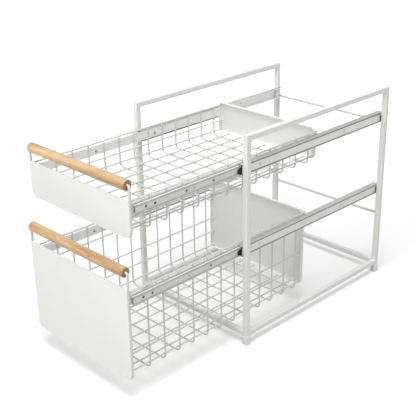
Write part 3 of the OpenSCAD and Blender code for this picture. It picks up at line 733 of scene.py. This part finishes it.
def basket_welds(drawer):
    """Welds: a flattened bead where wires cross, at the ends of the long wires and on the hoop."""
    nothing()
    bpy.ops.mesh.primitive_uv_sphere_add(segments=8, ring_count=5, radius=1)
    bead = shape("bead")
    bpy.ops.object.mode_set(mode="OBJECT")
    cross = sorted({round((a.y + b.y) / 2, 5) for a, b in solids(drawer + "_cross_wires")})
    wire = max(high.z - low.z for low, high in solids(drawer + "_floor_wires"))
    cross_low, cross_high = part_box(drawer + "_cross_wires")
    wall_x = cross_high[0] - wire / 2
    floor_z = cross_low[2] + wire / 2
    copies = []
    for run in ("rim", "side", "floor"):
        for low, high in solids(drawer + "_" + run + "_wires"):
            x, z = (low.x + high.x) / 2, (low.z + high.z) / 2
            for y in cross:
                if run == "floor":
                    at = (x, y, (z + floor_z) / 2)
                    size = (CROSSING_LONG, CROSSING_LONG, CROSSING_FLAT)
                else:
                    at = ((x + side_of(low) * wall_x) / 2, y, z)
                    size = (CROSSING_FLAT, CROSSING_LONG, CROSSING_LONG)
                copies.append(copied(bead, at, size=size))
    hoop_low, hoop_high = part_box(drawer + "_hoop")
    hoop_y = (hoop_low[1] + hoop_high[1]) / 2
    panel_low, panel_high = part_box(drawer + "_front_panel")
    front = panel_high[1]
    for low, high in solids(drawer + "_rim_wires") + solids(drawer + "_side_wires"):
        at = ((low.x + high.x) / 2, front + WIRE_END_BACK, (low.z + high.z) / 2)
        copies.append(copied(bead, at, size=WIRE_END_BEAD))
    for height in HOOP_BEADS_AT:
        z = panel_low[2] + height * (panel_high[2] - panel_low[2])
        for side in (-1, 1):
            x, y = side * (hoop_high[0] - HOOP_BEAD_IN), (front + hoop_y) / 2 - HOOP_BEAD_AHEAD
            copies.append(copied(bead, (x, y, z), size=HOOP_BEAD))
    bpy.data.objects.remove(bead)
    whole = joined(copies, drawer + "_basket_welds")
    finished(whole, drawer + "_drawer", "wire_white", angle=180)


TUBE_ROUND = 1.5 * MM


def fillet(name, half, thick):
    """A ring of weld round a square tube's end: a narrow square frame with a rounded face."""
    nothing()
    bpy.ops.mesh.primitive_cube_add(size=2 * (half + thick))
    ring = shape(name)
    bpy.ops.object.mode_set(mode="OBJECT")
    ring.data.transform(Matrix.Diagonal((1, 1, thick / (2 * (half + thick)), 1)))
    bpy.ops.object.mode_set(mode="EDIT")
    pick(ring, "EDGE", lambda at, way: abs(way.z) > 0.9)
    bpy.ops.mesh.bevel(offset=TUBE_ROUND + thick, segments=5)
    pick(ring, "EDGE", lambda at, way: at.z > 0 and abs(way.z) < 0.1)
    bpy.ops.mesh.bevel(offset=thick * 0.48, segments=4)
    bpy.ops.object.mode_set(mode="OBJECT")
    return ring


TUBE_WELD = 0.75 * MM
TUBE_WELD_IN = 0.3 * MM
ROD_WELD = 0.5 * MM
ROD_WELD_IN = 0.1 * MM
ROD_WELD_AHEAD = 0.6 * MM


def frame_welds():
    """Welds of the frame: a bead round the end of each bottom tube, and round each rear rod."""
    bar_low, bar_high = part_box("front_crossbar")
    half = (bar_high[2] - bar_low[2]) / 2
    z = (bar_low[2] + bar_high[2]) / 2
    ring = fillet("tube_weld", half - TUBE_WELD_IN, TUBE_WELD)
    copies = []
    for side in (-1, 1):
        for bar in ("front_crossbar", "rear_crossbar"):
            low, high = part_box(bar)
            face = high[0] if side > 0 else low[0]
            copies.append(copied(ring, (face, (low[1] + high[1]) / 2, z), turned("X", -side)))
        for bar in ("left_bottom_rail", "right_bottom_rail"):
            low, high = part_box(bar)
            face = high[1] if side > 0 else low[1]
            copies.append(copied(ring, ((low[0] + high[0]) / 2, face, z), turned("Y", -side)))
    bpy.data.objects.remove(ring)
    for rod in ("upper_rear_rod", "lower_rear_rod"):
        low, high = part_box(rod)
        nothing()
        bpy.ops.mesh.primitive_torus_add(
            major_radius=(high[2] - low[2]) / 2 - ROD_WELD_IN,
            minor_radius=ROD_WELD,
            major_segments=24,
            minor_segments=8,
        )
        collar = shape("rod_weld")
        bpy.ops.object.mode_set(mode="OBJECT")
        for side, face in ((-1, low[0]), (1, high[0])):
            at = (face, (low[1] + high[1]) / 2 - ROD_WELD_AHEAD, (low[2] + high[2]) / 2)
            copies.append(copied(collar, at, turned("X", -side)))
        bpy.data.objects.remove(collar)
    finished(joined(copies, "frame_welds"), "frame", "frame_white", angle=180)


FOOT_ROUND = 2.3 * MM
FOOT_LIP = 0.45 * MM
FOOT_SOLE = 0.6 * MM
FOOT_INSET = 0.7 * MM


def soft_feet():
    """Moulded foot caps: square sleeves with round corners and softened ends."""
    ends = [side + "_" + end for side in ("left", "right") for end in ("front", "rear")]
    posts = [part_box(end + "_post") for end in ends]
    feet_low, feet_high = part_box("foot_caps")
    first_low, first_high = posts[0]
    half = (first_high[0] - first_low[0]) / 2 + (first_low[0] - feet_low[0])
    nothing()
    bpy.ops.mesh.primitive_cube_add(size=2 * half, location=(0, 0, half))
    foot = shape("foot")
    bpy.ops.object.mode_set(mode="OBJECT")
    tall = feet_high[2] - feet_low[2]
    foot.data.transform(Matrix.Diagonal((1, 1, tall / (2 * half), 1)))
    bpy.ops.object.mode_set(mode="EDIT")
    pick(foot, "EDGE", lambda at, way: abs(way.z) > 0.9)
    bpy.ops.mesh.bevel(offset=FOOT_ROUND, segments=6)
    pick(foot, "FACE", lambda at, way: way.z < -0.9)
    bpy.ops.mesh.inset(thickness=FOOT_INSET, depth=0)
    pick(foot, "EDGE", lambda at, way: abs(way.z) < 0.1 and at.z > tall - SAME)
    bpy.ops.mesh.bevel(offset=FOOT_LIP, segments=3)
    rim = half - SAME
    pick(
        foot,
        "EDGE",
        lambda at, way: abs(way.z) < 0.1 and at.z < SAME and max(abs(at.x), abs(at.y)) > rim,
    )
    bpy.ops.mesh.bevel(offset=FOOT_SOLE, segments=3)
    bpy.ops.mesh.select_all(action="SELECT")
    bpy.ops.mesh.remove_doubles(threshold=MERGE)
    bpy.ops.object.mode_set(mode="OBJECT")
    copies = []
    for low, high in posts:
        at = ((low[0] + high[0]) / 2, (low[1] + high[1]) / 2, feet_low[2])
        copies.append(copied(foot, at))
    bpy.data.objects.remove(foot)
    finished(joined(copies, "moulded_feet"), "frame", "foot_plastic", "foot_caps", angle=40)


def seen_rays(tree):
    """1 for what is seen straight, in metal or through glass, and 0 for light on its way."""
    path = tree.nodes.new("ShaderNodeLightPath")
    rays = [path.outputs["Is " + kind + " Ray"] for kind in ("Camera", "Glossy", "Transmission")]
    return maths(tree, "MAXIMUM", maths(tree, "MAXIMUM", rays[0], rays[1]), rays[2])


def add_world():
    """White world: plain to the camera and in reflections, softer as a light."""
    world = bpy.data.worlds.new("studio")
    bpy.context.scene.world = world
    world.use_nodes = True
    tree = world.node_tree
    background = tree.nodes["Background"]
    background.inputs["Color"].default_value = (1, 1, 1, 1)
    strength = ramp(tree, seen_rays(tree), WORLD_LEVEL, 1.0, 0.0, 1.0)
    tree.links.new(strength, background.inputs["Strength"])


def add_floor():
    """White floor that keeps the object's shadow, and throws less light back up than it shows."""
    bpy.ops.mesh.primitive_plane_add(size=30, location=(0, 0, -0.2 * MM))
    floor = bpy.context.object
    floor.name = "floor"
    material, tree, bsdf = shader("floor_white")
    bsdf.inputs["Base Color"].default_value = (FLOOR_SHOWN, FLOOR_SHOWN, FLOOR_SHOWN, 1)
    bsdf.inputs["Roughness"].default_value = 0.9
    bsdf.inputs["Specular IOR Level"].default_value = 0.0
    coords = tree.nodes.new("ShaderNodeTexCoord")
    away = tree.nodes.new("ShaderNodeVectorMath")
    away.operation = "LENGTH"
    tree.links.new(coords.outputs["Object"], away.inputs[0])
    glow = tree.nodes.new("ShaderNodeEmission")
    level = ramp(tree, away.outputs["Value"], FLOOR_GLOW, FAR_GLOW, GLOW_FROM, GLOW_TO)
    tree.links.new(level, glow.inputs["Strength"])
    shown = tree.nodes.new("ShaderNodeAddShader")
    tree.links.new(bsdf.outputs[0], shown.inputs[0])
    tree.links.new(glow.outputs[0], shown.inputs[1])
    duller = tree.nodes.new("ShaderNodeBsdfDiffuse")
    duller.inputs["Color"].default_value = (FLOOR_BOUNCE, FLOOR_BOUNCE, FLOOR_BOUNCE, 1)
    either = tree.nodes.new("ShaderNodeMixShader")
    tree.links.new(seen_rays(tree), either.inputs[0])
    tree.links.new(duller.outputs[0], either.inputs[1])
    tree.links.new(shown.outputs[0], either.inputs[2])
    tree.links.new(either.outputs[0], tree.nodes["Material Output"].inputs["Surface"])
    floor.data.materials.append(material)


LAMPS_AIM_UP = 0.2


def add_lamp(name, place, size, power):
    """A soft square lamp that looks at the rack's middle."""
    target = rack_mid + Vector((0, 0, LAMPS_AIM_UP))
    spot = rack_mid + Vector(place)
    turn = (target - spot).to_track_quat("-Z", "Y").to_euler()
    bpy.ops.object.light_add(type="AREA", location=spot, rotation=turn)
    lamp = bpy.context.object
    lamp.name = name
    lamp.data.shape = "SQUARE"
    lamp.data.size = size
    lamp.data.energy = power


# Light of the world on the object, where 1 is what the camera sees
WORLD_LEVEL = 0.45
# The floor: its colour as seen, what it glows with near the rack and far off, and its colour for
# the light that it throws back
FLOOR_SHOWN = 0.90
FLOOR_GLOW = 0.20
FAR_GLOW = 0.9
GLOW_FROM, GLOW_TO = 0.62, 1.6
FLOOR_BOUNCE = 0.60

add_camera()
dress_nodes()
for drawer in DRAWERS:
    turned_handle(drawer)
    pressed_back(drawer)
    domed_rivets(drawer + "_domed_rivets", drawer + "_drawer", drawer + "_strip_rivets")
    basket_welds(drawer)
    soft_front(drawer)
domed_rivets("cabinet_domed_rivets", "frame", "cabinet_rivets")
slide_stops()
rail_pads()
rail_screws()
frame_welds()
soft_feet()
add_world()
add_floor()
# Each lamp's place from the rack's middle, its side in metres and its power in watts
add_lamp("top_soft", (0.45, -0.8, 2.5), 1.1, 38)
add_lamp("front_soft", (-0.3, -2.7, 1.1), 1.8, 22)
add_lamp("side_soft", (2.2, -1.0, 1.3), 1.5, 5)
bpy.context.scene.view_settings.view_transform = "Standard"
